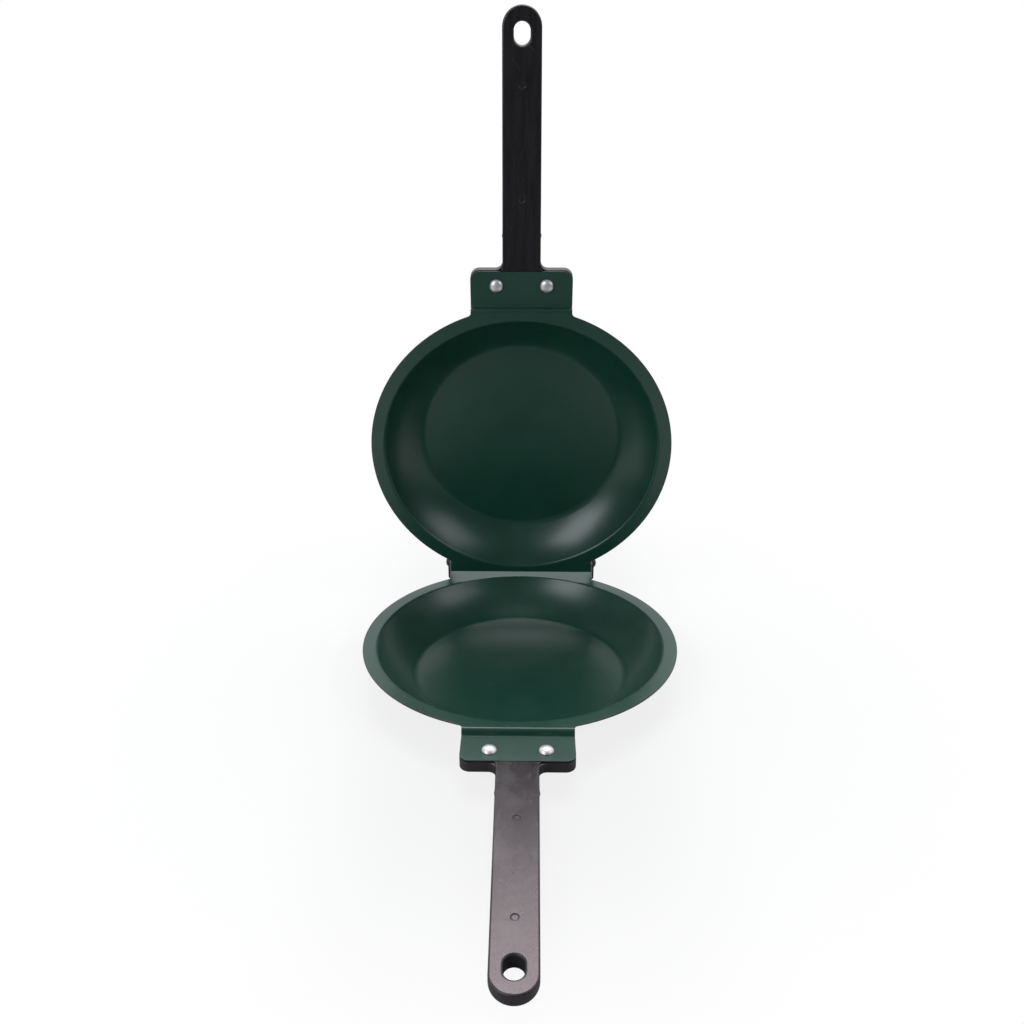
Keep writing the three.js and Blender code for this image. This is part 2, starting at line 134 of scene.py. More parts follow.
class Sheet:
    """The cooking side of a pressed sheet, gathered from patches whose shared edges join up."""

    def __init__(self):
        self.points, self.normals, self.faces, self.known = [], [], [], {}

    def corner(self, point, normal):
        key = tuple(round(c, weld_digits) + 0.0 for c in point)
        if key not in self.known:
            self.known[key] = len(self.points)
            self.points.append(Vector(point))
            self.normals.append(Vector(normal).normalized())
        return self.known[key]

    def face(self, corners):
        loop = [c for i, c in enumerate(corners) if c != corners[i - 1]]
        if len(loop) < 3:
            return
        area = sum((self.points[a].cross(self.points[b]) for a, b in zip(loop, loop[1:] + loop[:1])),
                   Vector())
        out = sum((self.normals[c] for c in loop), Vector())
        self.faces.append(loop if area.dot(out) > 0 else loop[::-1])

    def grid(self, rows):
        """Rows of (point, normal) with as many places in each."""
        ids = [[self.corner(*place) for place in row] for row in rows]
        for low, high in zip(ids, ids[1:]):
            for i in range(len(low) - 1):
                self.face([low[i], low[i + 1], high[i + 1], high[i]])

    def plate(self, outline, holes, lift, normal):
        """A flat part with an outline and round holes. lift turns its 2D places into points."""
        loops = [outline] + [arc(x, y, radius, 0, math.tau, hole_steps)[:-1] for x, y, radius in holes]
        flat, edges = [], []
        for loop in loops:
            base = len(flat)
            flat += [Vector(p) for p in loop]
            edges += [(base + i, base + (i + 1) % len(loop)) for i in range(len(loop))]
        places, _, triangles, *_ = delaunay_2d_cdt(flat, edges, [], 1, plate_tolerance)
        ids = [self.corner(lift(*p), normal) for p in places]
        for triangle in triangles:
            middle = sum((places[i] for i in triangle), Vector((0, 0))) / 3
            if all((middle - Vector(hole[:2])).length > hole[2] for hole in holes):
                self.face([ids[i] for i in triangle])

    def solid(self, name, face_material, back_material):
        """Gives the sheet its thickness, a rounded cut edge and its two finishes."""
        count = len(self.points)
        points = self.points + [p - n * sheet for p, n in zip(self.points, self.normals)]
        used = {(a, b) for face in self.faces for a, b in zip(face, face[1:] + face[:1])}
        walls = [[b, a, a + count, b + count] for a, b in used if (b, a) not in used]
        backs = [[i + count for i in reversed(face)] for face in self.faces]
        mesh = bpy.data.meshes.new(name)
        mesh.from_pydata([p * MM for p in points], [], self.faces + backs + walls)
        mesh.materials.append(face_material)
        mesh.materials.append(back_material)
        for polygon in mesh.polygons:
            polygon.material_index = int(polygon.index >= len(self.faces))
            polygon.use_smooth = True
        made = bpy.data.objects.new(name, mesh)
        bpy.context.collection.objects.link(made)
        bevel = made.modifiers.new("cut edge", "BEVEL")
        bevel.width, bevel.segments = cut_edge_round * MM, cut_edge_steps
        bevel.limit_method, bevel.angle_limit = "ANGLE", cut_edge_angle
        bevel.use_clamp_overlap, bevel.material = False, 1
        made.modifiers.new("flat faces", "WEIGHTED_NORMAL").keep_sharp = True
        return made


def bowl_profile():
    """The foot's arc runs on into the wall's long one, which touches the lip's from outside."""
    across = Vector((-math.sin(foot_angle), math.cos(foot_angle)))
    foot_middle = Vector((floor_radius, foot_radius - bowl_depth))
    lip_middle = Vector((mouth_radius, -lip_radius))
    apart, touch = foot_middle - lip_middle, foot_radius + lip_radius
    beyond = (apart.length_squared - touch ** 2) / (2 * (touch - apart.dot(across)))
    wall_middle = foot_middle + across * beyond
    lip_angle = math.atan2(lip_middle.x - wall_middle.x, wall_middle.y - lip_middle.y)
    floor_rings = [floor_radius * share for share in floor_ring_shares]
    return bent_run((0, -bowl_depth), 0, floor_rings + [
        (foot_angle, foot_radius, foot_steps), (lip_angle - foot_angle, foot_radius + beyond, wall_steps),
        (-lip_angle, lip_radius - sheet, lip_steps)])


def half_pan(name, flat, hinge_edge, up, lug, place, finishes):
    """One half. flat is half the width between its ear bends, up the way that its ears point, and
    lug the ear's outline in YZ, without the row where it meets the bend."""
    pan = Sheet()
    step_start = rim_to_side(tab_width / 2)[-1][1] + step_margin
    hinge_side = rim_to_side(flat)
    tab_side = [(x, -y) for x, y in reversed(rim_to_side(tab_width / 2))]
    start, end = math.atan2(*tab_side[-1][::-1]), math.atan2(*hinge_side[0][::-1])
    rim = arc(0, 0, rim_radius, start, end, round((end - start) / rim_step))
    bend_rows = spread(hinge_side[-1][1], hinge_edge, ear_rows)
    across = spread(0, tab_width / 2, tab_columns)
    right = ([(x, -step_start) for x in across] + tab_side + rim[1:-1] + hinge_side[:-1]
             + [(flat, y) for y in bend_rows]
             + [(x, hinge_edge) for x in spread(flat, 0, hinge_columns)[1:]])
    outline = right + [(-x, y) for x, y in reversed(right[1:-1])]
    outline.append(outline[0])
    up_normal = (0, 0, 1)
    around = [math.atan2(y, x) for x, y in outline]
    rows = [[((r * math.cos(a), r * math.sin(a), z),
              (-math.sin(tilt) * math.cos(a), -math.sin(tilt) * math.sin(a), math.cos(tilt)))
             for a in around] for r, z, tilt in bowl_profile()]
    strip_radius = mouth_radius + flat_strip
    rows.append([((strip_radius * math.cos(a), strip_radius * math.sin(a), 0), up_normal) for a in around])
    rows.append([((x, y, 0), up_normal) for x, y in outline])
    pan.grid(rows)

    bend_drop = (step_top_bend + step_foot_bend + sheet) * (1 - math.cos(step_angle))
    riser = (tab_step - bend_drop) / math.sin(step_angle)
    run = bent_run((step_start, 0), 0, [(-step_angle, step_top_bend, step_bend_steps), riser,
                                        (step_angle, step_foot_bend, step_bend_steps), flat_strip])
    xs = [-x for x in reversed(across[1:])] + across
    pan.grid([[((x, -y, z), (0, math.sin(tilt), math.cos(tilt))) for x in xs] for y, z, tilt in run])
    far, low = tab_width / 2 - tab_corner, tab_corner - tab_reach
    end_outline = ([(x, -run[-1][0]) for x in reversed(xs)]
                   + arc(-far, low, tab_corner, math.pi, 1.5 * math.pi, tab_corner_steps)
                   + arc(far, low, tab_corner, -math.pi / 2, 0, tab_corner_steps))
    pan.plate(end_outline, [(side * rivet_spacing / 2, -rivet_reach, rivet_hole) for side in (-1, 1)],
              lambda x, y: (x, y, -tab_step), up_normal)

    for side in (-1, 1):
        turn = bent_run((flat, 0), 0, [(up * math.pi / 2, ear_bend, ear_bend_steps)])
        pan.grid([[((side * x, y, z), (-side * math.sin(tilt), 0, math.cos(tilt))) for y in bend_rows]
                  for x, z, tilt in turn])
        wall, root, _ = turn[-1]
        pivot_height = hinge_height if up > 0 else closed_gap - hinge_height
        pan.plate([(y, root) for y in reversed(bend_rows)] + lug(bend_rows[0]),
                  [(hinge_reach, pivot_height, pivot_hole)],
                  lambda y, z: (side * wall, y, z), (-side * up, 0, 0))
    made = pan.solid(name, *finishes)
    made.matrix_world = place
    return made


def lower_lug(start):
    inner, outer = start + ear_corner, lower_hinge_edge - ear_corner
    height = ear_top - ear_corner
    return (arc(inner, height, ear_corner, math.pi, math.pi / 2, ear_corner_steps)
            + arc(outer, height, ear_corner, math.pi / 2, 0, ear_corner_steps))


def upper_lug(start):
    inner, outer = start + ear_corner, upper_ear_end - ear_corner
    height = closed_gap - ear_top + ear_corner
    return (arc(inner, height, ear_corner, -math.pi, -math.pi / 2, ear_corner_steps)
            + arc(outer, height, ear_corner, -math.pi / 2, 0, ear_corner_steps)
            + [(upper_ear_end, -upper_ear_neck - (upper_ear_end - upper_hinge_edge)),
               (upper_hinge_edge, -upper_ear_neck)])


def put(tree, kind, settings=None, **inputs):
    """A node with its settings. An input is a value or the socket that it is linked to, and is
    named by its label, or by its number as _0."""
    made = tree.nodes.new(kind)
    for name, value in (settings or {}).items():
        setattr(made, name, value)
    for name, value in inputs.items():
        number, label = name[1:], name.replace("_", " ")
        socket = made.inputs[int(number)] if number.isdigit() else made.inputs[label]
        if isinstance(value, bpy.types.NodeSocket):
            tree.links.new(value, socket)
        else:
            socket.default_value = value
    return made


def calculate(tree, operation, a, b=0.0):
    return put(tree, "ShaderNodeMath", {"operation": operation}, _0=a, _1=b).outputs[0]


def times(tree, a, b):
    return calculate(tree, "MULTIPLY", a, b)


def plus(tree, a, b):
    return calculate(tree, "ADD", a, b)


def part(tree, vector, axis):
    return put(tree, "ShaderNodeSeparateXYZ", Vector=vector).outputs[axis]


def stretched(tree, coordinates, scale):
    return put(tree, "ShaderNodeMapping", Vector=coordinates, Scale=scale).outputs[0]


def noise(tree, coordinates, scale, detail=2.0, roughness=0.5):
    return put(tree, "ShaderNodeTexNoise", Vector=coordinates, Scale=scale, Detail=detail,
               Roughness=roughness).outputs["Fac"]


def between(tree, value, low, high, new_low=0.0, new_high=1.0):
    """A smooth step from new_low to new_high, while the value goes from low to high."""
    return put(tree, "ShaderNodeMapRange", {"interpolation_type": "SMOOTHSTEP"}, Value=value,
               From_Min=low, From_Max=high, To_Min=new_low, To_Max=new_high).outputs[0]


def effect(name, inputs, outputs):
    """An empty shader node group with its named sockets."""
    group = bpy.data.node_groups.new(name, "ShaderNodeTree")
    for label, value in inputs.items():
        kind = "NodeSocketVector" if isinstance(value, tuple) else "NodeSocketFloat"
        group.interface.new_socket(label, in_out="INPUT", socket_type=kind).default_value = value
    for label in outputs:
        group.interface.new_socket(label, in_out="OUTPUT", socket_type="NodeSocketFloat")
    return group, put(group, "NodeGroupInput").outputs, put(group, "NodeGroupOutput").inputs


def use_effect(tree, group, **inputs):
    return put(tree, "ShaderNodeGroup", {"node_tree": group}, **inputs).outputs


def surface_grain_group():
    """Fine and broad unevenness of a sprayed or moulded skin, as one height and a broad shade."""
    inputs = {"Vector": (0.0, 0.0, 0.0), "Fine": 2500.0, "Broad": 420.0, "Broad Share": 0.6}
    group, given, out = effect("surface_grain", inputs, ("Height", "Shade"))
    fine = noise(group, given["Vector"], given["Fine"], detail=3.0)
    broad = noise(group, given["Vector"], given["Broad"], detail=1.0)
    mixed = put(group, "ShaderNodeMix", Factor=given["Broad Share"], A=fine, B=broad).outputs[0]
    shade = noise(group, given["Vector"], scale=28.0, detail=3.0, roughness=0.55)
    group.links.new(mixed, out["Height"])
    group.links.new(shade, out["Shade"])
    return group


def hair_scratch_group():
    """Sparse thin scratches in two directions, as a mask."""
    inputs = {"Vector": (0.0, 0.0, 0.0), "Turn": 0.6, "Amount": 0.5}
    group, given, out = effect("hair_scratches", inputs, ("Mask",))
    scratch_stretch = (1100.0, 14.0, 14.0)
    line_low, line_high, field_low, field_high, field_scale = 0.76, 0.80, 0.52, 0.64, 90.0
    masks = []
    for turn, seed in ((1.0, 0.0), (-1.7, 3.1)):
        spin = times(group, given["Turn"], turn)
        angle = put(group, "ShaderNodeCombineXYZ", Z=spin).outputs[0]
        turned = put(group, "ShaderNodeMapping", Vector=given["Vector"], Rotation=angle,
                     Location=(seed, seed, 0)).outputs[0]
        line = noise(group, stretched(group, turned, scratch_stretch), scale=1.0, detail=0.0)
        field = noise(group, given["Vector"], scale=field_scale + seed, detail=1.0)
        masks.append(times(group, between(group, line, line_low, line_high),
                           between(group, field, field_low, field_high)))
    both = calculate(group, "MAXIMUM", *masks)
    group.links.new(times(group, both, given["Amount"]), out["Mask"])
    return group


def settled_dust_group():
    """Specks and a thin film of dust on what faces up, as a mask."""
    inputs = {"Vector": (0.0, 0.0, 0.0), "Amount": 0.5}
    group, given, out = effect("settled_dust", inputs, ("Mask",))
    normal = put(group, "ShaderNodeNewGeometry").outputs["Normal"]
    upward = between(group, part(group, normal, "Z"), low=0.1, high=0.95)
    cells = put(group, "ShaderNodeTexVoronoi", Vector=given["Vector"], Scale=430.0).outputs
    speck = between(group, cells["Distance"], low=0.1, high=0.04)
    draw = put(group, "ShaderNodeSeparateColor", Color=cells["Color"]).outputs[0]
    chosen = between(group, draw, low=0.9, high=0.93)
    cloud = noise(group, given["Vector"], scale=45.0, detail=4.0, roughness=0.6)
    film = between(group, cloud, low=0.45, high=0.8, new_high=0.25)
    both = calculate(group, "MAXIMUM", times(group, speck, chosen), film)
    shown = times(group, both, upward)
    group.links.new(times(group, shown, given["Amount"]), out["Mask"])
    return group


surface_grain = surface_grain_group()
hair_scratches = hair_scratch_group()
settled_dust = settled_dust_group()


def start_material(name):
    made = bpy.data.materials.new(name)
    made.use_nodes = True
    tree = made.node_tree
    coordinates = put(tree, "ShaderNodeTexCoord").outputs["Object"]
    return made, tree, tree.nodes["Principled BSDF"], coordinates


def mixed_colour(tree, factor, low, high):
    mix = put(tree, "ShaderNodeMix", {"data_type": "RGBA"})
    for socket, value in ((mix.inputs[0], factor), (mix.inputs[6], low), (mix.inputs[7], high)):
        if isinstance(value, bpy.types.NodeSocket):
            tree.links.new(value, socket)
        else:
            socket.default_value = value
    return mix.outputs[2]


def bumped(tree, height, distance):
    return put(tree, "ShaderNodeBump", Height=height, Distance=distance, Strength=1.0).outputs[0]


coating_dust = (0.32, 0.31, 0.29, 1.0)
coating_unevenness, scratch_dulling, dust_dulling, scratch_cut = 0.05, 0.12, 0.3, 0.8
tab_from, tab_to = -0.094, -0.098


def coating(name, deep, light, roughness, scratch_colour, scratches, dust, peel, tab_dulling=0.0):
    """A sprayed and baked coating: fine orange peel, slight change of shade, hair scratches. It
    may be duller on the front tab, beyond the step."""
    made, tree, shader, where = start_material(name)
    grain = use_effect(tree, surface_grain, Vector=where, Fine=2200.0, Broad=520.0, Broad_Share=0.65)
    scratch = use_effect(tree, hair_scratches, Vector=where, Turn=0.7, Amount=scratches)["Mask"]
    specks = use_effect(tree, settled_dust, Vector=where, Amount=dust)["Mask"]
    colour = mixed_colour(tree, between(tree, grain["Shade"], low=0.3, high=0.7), deep, light)
    colour = mixed_colour(tree, scratch, colour, scratch_colour)
    colour = mixed_colour(tree, specks, colour, coating_dust)
    tree.links.new(colour, shader.inputs["Base Color"])
    rough = between(tree, grain["Shade"], low=0.25, high=0.75, new_low=roughness,
                    new_high=roughness + coating_unevenness)
    tab = between(tree, part(tree, where, "Y"), tab_from, tab_to)
    rough = plus(tree, rough, times(tree, tab, tab_dulling))
    rough = plus(tree, rough, times(tree, scratch, scratch_dulling))
    rough = plus(tree, rough, times(tree, specks, dust_dulling))
    tree.links.new(rough, shader.inputs["Roughness"])
    cut = calculate(tree, "SUBTRACT", grain["Height"], times(tree, scratch, scratch_cut))
    tree.links.new(bumped(tree, cut, peel), shader.inputs["Normal"])
    return made


green_coating = coating("green_coating", deep=(0.0050, 0.0375, 0.0240, 1.0),
                        light=(0.0066, 0.0430, 0.0280, 1.0), roughness=0.285,
                        scratch_colour=(0.03, 0.08, 0.06, 1.0), scratches=0.12, dust=0.05,
                        peel=0.00003, tab_dulling=0.12)
black_coating = coating("black_coating", deep=(0.0095, 0.0092, 0.0096, 1.0),
                        light=(0.0125, 0.0122, 0.0126, 1.0), roughness=0.36,
                        scratch_colour=(0.08, 0.08, 0.08, 1.0), scratches=0.15, dust=0.15,
                        peel=0.00005)
lower_flat = ear_outer - sheet - ear_bend
upper_flat = lower_flat - sheet - ear_gap
for name, body, flat, edge, up, lug, where in (
        ("lower_pan", "lower", lower_flat, lower_hinge_edge, 1, lower_lug, lower_place),
        ("upper_pan", "upper", upper_flat, upper_hinge_edge, -1, upper_lug, upper_place)):
    pan = half_pan(f"{name}_pressing", flat, edge, up, lug, where, (green_coating, black_coating))
    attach(pan, body)
    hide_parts(name)

# The two handles
# Each is one black heat-proof moulding: a flat T-shaped head that the tab lies on, and a grip with
# a flush upper face, a rounded underside and an oval hole for hanging. It falls towards its tip.
head_face, head_under, head_back, head_front, head_edge = -5.2, -11.2, 98.04, 118.1, 0.8
neck_start, handle_reach, neck_width, end_width = 117.9, 259.0, 22.6, 21.5
grip_start, grip_thickness, grip_fall, grip_edge, grip_belly = 112.9, 8.1, 7.7, 1.0, 4.0
belly_start, belly_run, neck_fillet = 114.5, 24.0, 4.2
collar_fillet, collar_under_edge, collar_top_edge, overlap = 2.0, 0.3, 0.5, 1.0
hole_width, hole_length, hole_to_tip, hole_edge = 9.0, 12.2, 13.9, 1.1
ejector_marks, ejector_radius, ejector_depth, ejector_wall = (159.0, 219.5), 2.1, 0.5, 0.6
nub_reach, nub_level, nub_height, nub_length, nub_spread = 137.5, -8.2, 0.4, 1.1, 1.6

# The grid that the moulding's skin is found on, as stretches of (start, end, step).
across_stretches = ((0, 2.6, 0.26), (2.6, 9, 0.8), (9, 12.4, 0.34), (12.4, 17.6, 0.55),
                    (17.6, 25, 0.9), (25, 31.3, 0.45))
along_stretches = ((97.2, 124, 0.42), (124, 134.5, 0.8), (134.5, 140.5, 0.4), (140.5, 156, 1.5),
                   (156, 162, 0.25), (162, 216.5, 1.6), (216.5, 222.5, 0.25), (222.5, 235, 1.4),
                   (235, 260, 0.42))
height_stretches = ((-21.2, -14, 0.5), (-14, -3.2, 0.3))
settling_rounds, settling_share, least_slope = 3, 0.9, 0.2
slope_reach, normal_reach = 0.02, 0.05


def smooth(value, low, high):
    share = np.clip((value - low) / (high - low), 0, 1)
    return share * share * (3 - 2 * share)


def round_union(a, b, radius):
    both = np.hypot(np.maximum(radius - a, 0), np.maximum(radius - b, 0))
    return np.maximum(radius, np.minimum(a, b)) - both


def round_overlap(a, b, radius):
    both = np.hypot(np.maximum(radius + a, 0), np.maximum(radius + b, 0))
    return np.minimum(-radius, np.maximum(a, b)) + both


def slab(plan, z, low, high, low_edge, high_edge):
    """A plan distance given a thickness with rounded edges."""
    upper = z > (low + high) / 2
    edge = np.where(upper, high_edge, low_edge)
    return round_overlap(plan, np.where(upper, z - high, low - z), edge)


def handle_distance(x, y, z):
    """Distance to the handle's surface, negative inside."""
    along = -y
    z = z + grip_fall * np.clip((along - neck_start) / (handle_reach - neck_start), 0, None)
    end_radius = end_width / 2
    end = handle_reach - end_radius
    side = neck_width / 2 + (end_radius - neck_width / 2) * (along - neck_start) / (end - neck_start)
    nub = np.exp(-((along - nub_reach) / nub_length) ** 2 - ((z - nub_level) / nub_spread) ** 2)
    plan = np.where(along < end, np.abs(x) - side - nub_height * nub,
                    np.hypot(x, along - end) - end_radius)

    middle = (head_back + head_front) / 2
    qx = np.abs(x) - (tab_width / 2 - tab_corner)
    qy = np.abs(along - middle) - ((head_front - head_back) / 2 - tab_corner)
    outside = np.hypot(np.maximum(qx, 0), np.maximum(qy, 0))
    head_plan = outside + np.minimum(np.maximum(qx, qy), 0) - tab_corner
    base_plan = np.maximum(round_union(head_plan, np.maximum(plan, grip_start - along), neck_fillet),
                           along - head_front - neck_fillet - overlap)
    base = slab(base_plan, z, head_under, head_face, head_edge, head_edge / 2)

    belly_end = belly_start + belly_run
    bottom = head_under - (grip_thickness + tab_step + head_under) * smooth(along, belly_start, belly_end)
    belly = head_edge + (grip_belly - head_edge) * smooth(along, head_front + overlap, belly_end)
    top = np.full_like(z, -tab_step)
    for reach in ejector_marks:
        away = np.hypot(x, along - reach)
        top -= ejector_depth * (1 - smooth(away, ejector_radius - ejector_wall, ejector_radius))
    grip = slab(plan, z, bottom, top, belly, grip_edge)
    raised = np.maximum(grip, neck_start - along)
    sunk = np.maximum(np.maximum(grip, grip_start - along), z - head_face)
    collar_plan = np.maximum(round_union(plan, along - neck_start, collar_fillet),
                             along - neck_start - 2 * collar_fillet)
    collar = slab(np.maximum(collar_plan, neck_start - along), z, head_face - overlap, -tab_step,
                  collar_under_edge, collar_top_edge)
    whole = np.minimum(np.minimum(base, raised), np.minimum(sunk, collar))

    hole_radius = hole_width / 2
    hole_run = (hole_length - hole_width) / 2
    hole_middle = handle_reach - hole_to_tip
    hole = np.hypot(x, np.maximum(np.abs(along - hole_middle) - hole_run, 0)) - hole_radius
    whole = round_overlap(whole, -hole, hole_edge)
    rivets = np.hypot(np.abs(x) - rivet_spacing / 2, along - rivet_reach) - rivet_hole
    return np.maximum(whole, -rivets)


def grid_lines(stretches):
    places = [np.linspace(a, b, max(2, round((b - a) / step) + 1)) for a, b, step in stretches]
    return np.unique(np.round(np.concatenate(places), 4))


def skin(distance, xs, ys, zs):
    """The zero surface of a distance on a grid, one point to a crossed cell, with its normals."""
    grid = np.meshgrid(xs, ys, zs, indexing="ij")
    values = distance(*grid)
    shape = np.array(values.shape) - 1
    total = np.zeros(tuple(shape) + (3,))
    hits = np.zeros(tuple(shape))
    places = np.stack(grid, -1)
    faces = []
    inside = values < 0
    for axis in range(3):
        near = tuple(slice(0, -1) if i == axis else slice(None) for i in range(3))
        far = tuple(slice(1, None) if i == axis else slice(None) for i in range(3))
        crossed = inside[near] != inside[far]
        share = np.where(crossed, values[near] / np.where(crossed, values[near] - values[far], 1), 0)
        point = places[near] + (places[far] - places[near]) * share[..., None]
        others = [i for i in range(3) if i != axis]
        for shifts in ((0, 0), (0, 1), (1, 0), (1, 1)):
            cells = [slice(None)] * 3
            for i, shift in zip(others, shifts):
                cells[i] = slice(shift, shift + shape[i])
            hit = crossed[tuple(cells)]
            total += np.where(hit[..., None], point[tuple(cells)], 0)
            hits += hit
        inner = np.argwhere(crossed)
        inner = inner[(inner[:, others] > 0).all(1) & (inner[:, others] < shape[others]).all(1)]
        u, v = np.eye(3, dtype=int)[others]
        ring = np.stack([inner, inner - u, inner - u - v, inner - v], 1)
        flip = inside[tuple(inner.T)] == (axis == 1)
        ring[flip] = ring[flip][:, ::-1]
        faces.append(ring)
    ids = np.full(tuple(shape), -1)
    ids[hits > 0] = np.arange((hits > 0).sum())
    rings = np.concatenate(faces)
    quads = ids[rings[..., 0], rings[..., 1], rings[..., 2]]
    points = total[hits > 0] / hits[hits > 0][:, None]

    def slope(p, reach):
        tilts = [distance(*(p + reach * e).T) - distance(*(p - reach * e).T) for e in np.eye(3)]
        return np.stack(tilts, 1) / (2 * reach)

    for _ in range(settling_rounds):
        tilt = slope(points, slope_reach)
        size = np.maximum((tilt ** 2).sum(1), least_slope)
        points = points - tilt * (distance(*points.T) / size)[:, None] * settling_share
    normals = slope(points, normal_reach)
    return points, normals / np.linalg.norm(normals, axis=1)[:, None], quads


def handle_mesh():
    side = grid_lines(across_stretches)
    xs = np.unique(np.concatenate([-side, side]))
    ys = -grid_lines(along_stretches)[::-1]
    points, normals, quads = skin(handle_distance, xs, ys, grid_lines(height_stretches))
    mesh = bpy.data.meshes.new("moulded_handle")
    mesh.from_pydata((points * MM).tolist(), [], quads.tolist())
    mesh.polygons.foreach_set("use_smooth", [True] * len(mesh.polygons))
    mesh.normals_split_custom_set_from_vertices(normals.tolist())
    return mesh


moulding_deep, moulding_light = (0.0080, 0.0078, 0.0094, 1.0), (0.0155, 0.0148, 0.0168, 1.0)
scuff_colour, moulding_dust = (0.13, 0.125, 0.13, 1.0), (0.30, 0.29, 0.28, 1.0)
moulding_tint = (1.0, 0.83, 0.88, 1.0)
face_roughness_low, face_roughness_high, side_dulling = 0.2, 0.225, 0.28
flow_dulling, scuff_dulling, flow_height, spark_height = 0.012, 0.2, 0.35, 0.00005
flow_stretch = (330.0, 26.0, 330.0)
lower_texture, upper_texture = (0.0, 0.0, 0.0), (0.37, 0.21, 0.11)


def moulding(name, shift, dust):
    """Black moulding: fine spark texture, faint flow lines along the grip, scuffs and dust. Its
    upper face has more gloss than its sides."""
    made, tree, shader, where = start_material(name)
    normal = put(tree, "ShaderNodeTexCoord").outputs["Normal"]
    face = between(tree, part(tree, normal, "Z"), low=0.86, high=0.985)
    moved = put(tree, "ShaderNodeMapping", Vector=where, Location=shift).outputs[0]
    grain = use_effect(tree, surface_grain, Vector=moved, Fine=5200.0, Broad=1500.0, Broad_Share=0.45)
    flow = noise(tree, stretched(tree, moved, flow_stretch), scale=1.0, detail=4.0, roughness=0.6)
    scuffs = use_effect(tree, hair_scratches, Vector=moved, Turn=0.35, Amount=0.1)["Mask"]
    specks = use_effect(tree, settled_dust, Vector=moved, Amount=dust)["Mask"]
    colour = mixed_colour(tree, between(tree, flow, low=0.3, high=0.7), moulding_deep, moulding_light)
    colour = mixed_colour(tree, scuffs, colour, scuff_colour)
    colour = mixed_colour(tree, specks, colour, moulding_dust)
    tree.links.new(colour, shader.inputs["Base Color"])
    rough = between(tree, grain["Shade"], 0.3, 0.7, face_roughness_low, face_roughness_high)
    rough = plus(tree, rough, between(tree, face, 0.0, 1.0, side_dulling, 0.0))
    rough = plus(tree, rough, between(tree, flow, 0.35, 0.7, -flow_dulling, flow_dulling))
    rough = plus(tree, rough, times(tree, scuffs, scuff_dulling))
    tree.links.new(rough, shader.inputs["Roughness"])
    shader.inputs["Specular Tint"].default_value = moulding_tint
    height = plus(tree, grain["Height"], times(tree, flow, flow_height))
    tree.links.new(bumped(tree, height, spark_height), shader.inputs["Normal"])
    return made


shared_handle = handle_mesh()
for half, where, shift in (("lower", lower_place, lower_texture), ("upper", upper_place, upper_texture)):
    mesh = shared_handle.copy()
    mesh.materials.append(moulding(f"{half}_black_moulding", shift, dust=0.5))
    handle = bpy.data.objects.new(f"{half}_handle_moulding", mesh)
    bpy.context.collection.objects.link(handle)
    handle.matrix_world = where
    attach(handle, half)
    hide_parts(f"{half}_handle")

# The handle rivets and their washers
# Polished steel rivets pass through tab and handle with their domed heads on the cooking side.
# Each tail is clinched over a round washer, so that it doesn't crack the moulding.
rivet_radius, head_radius, head_height = 2.0, 4.0, 2.3
tail_radius, tail_height, washer_radius, washer_thickness = 3.1, 1.3, 4.0, 0.8
seat_gap, seat_reach, hole_clearance = 0.3, 0.26, 0.2
head_rim, dome_start, dome_steps = 0.25, 0.12, 12
dimple_share, dimple_floor_share, dimple_depth, dimple_side_depth = 0.55, 0.6, 0.45, 0.4
rivet_corner, washer_corner, corner_limit = 0.16, 0.2, 2.2
turning_steps = 64
steel_deep, steel_light = (0.60, 0.57, 0.585, 1.0), (0.75, 0.715, 0.73, 1.0)
steel_roughness_low, steel_roughness_high, swirl_dulling = 0.44, 0.52, 0.2
ring_scale, steel_unevenness, steel_relief = 9000.0, 0.6, 0.000006


def polished_steel(name):
    """Polished steel that use has dulled: faint turning rings, fine swirls, slight unevenness."""
    made, tree, shader, where = start_material(name)
    shader.inputs["Metallic"].default_value = 1.0
    grain = use_effect(tree, surface_grain, Vector=where, Fine=9000.0, Broad=1600.0, Broad_Share=0.5)
    swirls = use_effect(tree, hair_scratches, Vector=where, Turn=1.3, Amount=0.7)["Mask"]
    x, y = part(tree, where, "X"), part(tree, where, "Y")
    radius = calculate(tree, "SQRT", plus(tree, times(tree, x, x), times(tree, y, y)))
    turned = put(tree, "ShaderNodeCombineXYZ", X=radius).outputs[0]
    rings = noise(tree, turned, ring_scale, detail=2.0)
    colour = mixed_colour(tree, grain["Shade"], steel_deep, steel_light)
    tree.links.new(colour, shader.inputs["Base Color"])
    rough = between(tree, grain["Height"], 0.3, 0.7, steel_roughness_low, steel_roughness_high)
    rough = plus(tree, rough, times(tree, swirls, swirl_dulling))
    tree.links.new(rough, shader.inputs["Roughness"])
    height = plus(tree, rings, times(tree, grain["Height"], steel_unevenness))
    tree.links.new(bumped(tree, height, steel_relief), shader.inputs["Normal"])
    return made


